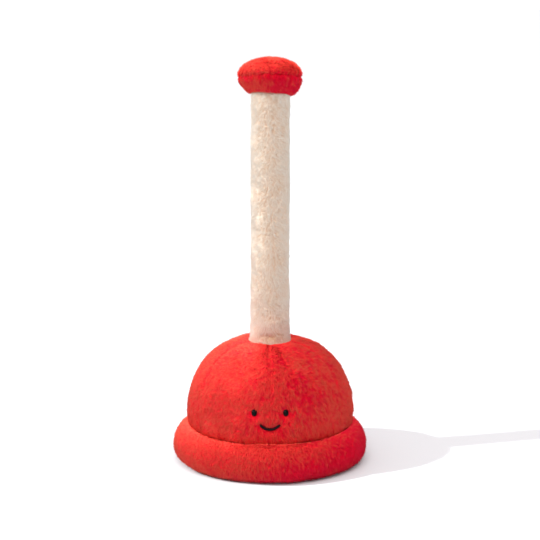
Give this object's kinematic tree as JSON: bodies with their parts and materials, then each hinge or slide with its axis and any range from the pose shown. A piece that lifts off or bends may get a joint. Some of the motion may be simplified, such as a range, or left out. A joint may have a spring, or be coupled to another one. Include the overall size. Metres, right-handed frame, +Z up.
{
  "type": "plush toy plunger",
  "caption": "Stuffed plush toy shaped like a sink plunger: a dome with a plain smiling face on a rolled rim, a tall soft handle that leans at its root, and a nodding knob.",
  "frame": {"origin": "middle of the flat underside, on the surface that the toy stands on", "axes": "+Z up along the handle, the face looks towards -Y, +X to the viewer's right"},
  "size_m": [0.1972, 0.1972, 0.4056],
  "materials": {
    "red_plush": "short-pile red plush, soft matt",
    "cream_plush": "short-pile cream plush, soft matt",
    "filling": "white fibre filling",
    "pouch_cloth": "plain woven lining",
    "foam": "closed-cell foam rod",
    "pellets": "plastic pellets",
    "black_bead": "polished bead",
    "washer_plastic": "moulded washer",
    "black_thread": "stranded embroidery thread",
    "red_thread": "sewing thread",
    "cream_thread": "sewing thread"
  },
  "bodies": {
    "body": {"dome_gore_1": "red_plush", "dome_gore_2": "red_plush", "dome_gore_3": "red_plush", "dome_gore_4": "red_plush", "dome_gore_5": "red_plush", "dome_gore_6": "red_plush", "rim_cover": "red_plush", "base_panel": "red_plush", "body_filling": "filling", "pouch_bottom": "pouch_cloth", "pouch_top": "pouch_cloth", "pouch_pellets": "pellets", "eye_left": "black_bead", "eye_right": "black_bead", "eye_washer_left": "washer_plastic", "eye_washer_right": "washer_plastic", "smile_stitching": "black_thread", "closing_stitches": "red_thread"},
    "root": {"root_wad": "filling"},
    "handle": {"handle_cover": "cream_plush", "handle_rod": "foam", "handle_filling": "filling", "root_stitching": "cream_thread", "neck_stitching": "red_thread"},
    "knob": {"knob_cover_top": "red_plush", "knob_cover_bottom": "red_plush", "knob_filling": "filling"}
  },
  "joints": [
    {"name": "handle_lean_front", "type": "hinge", "parent": "body", "child": "root", "pos_m": [0, 0, 0.112], "axis": [1, 0, 0], "range_deg": [-10, 10], "stiffness_Nm_per_rad": 1.2},
    {"name": "handle_lean_side", "type": "hinge", "parent": "root", "child": "handle", "pos_m": [0, 0, 0.112], "axis": [0, 1, 0], "range_deg": [-10, 10], "stiffness_Nm_per_rad": 1.2},
    {"name": "knob_nod", "type": "hinge", "parent": "handle", "child": "knob", "pos_m": [0, 0, 0.37], "axis": [1, 0, 0], "range_deg": [-8, 8], "stiffness_Nm_per_rad": 0.4}
  ]
}
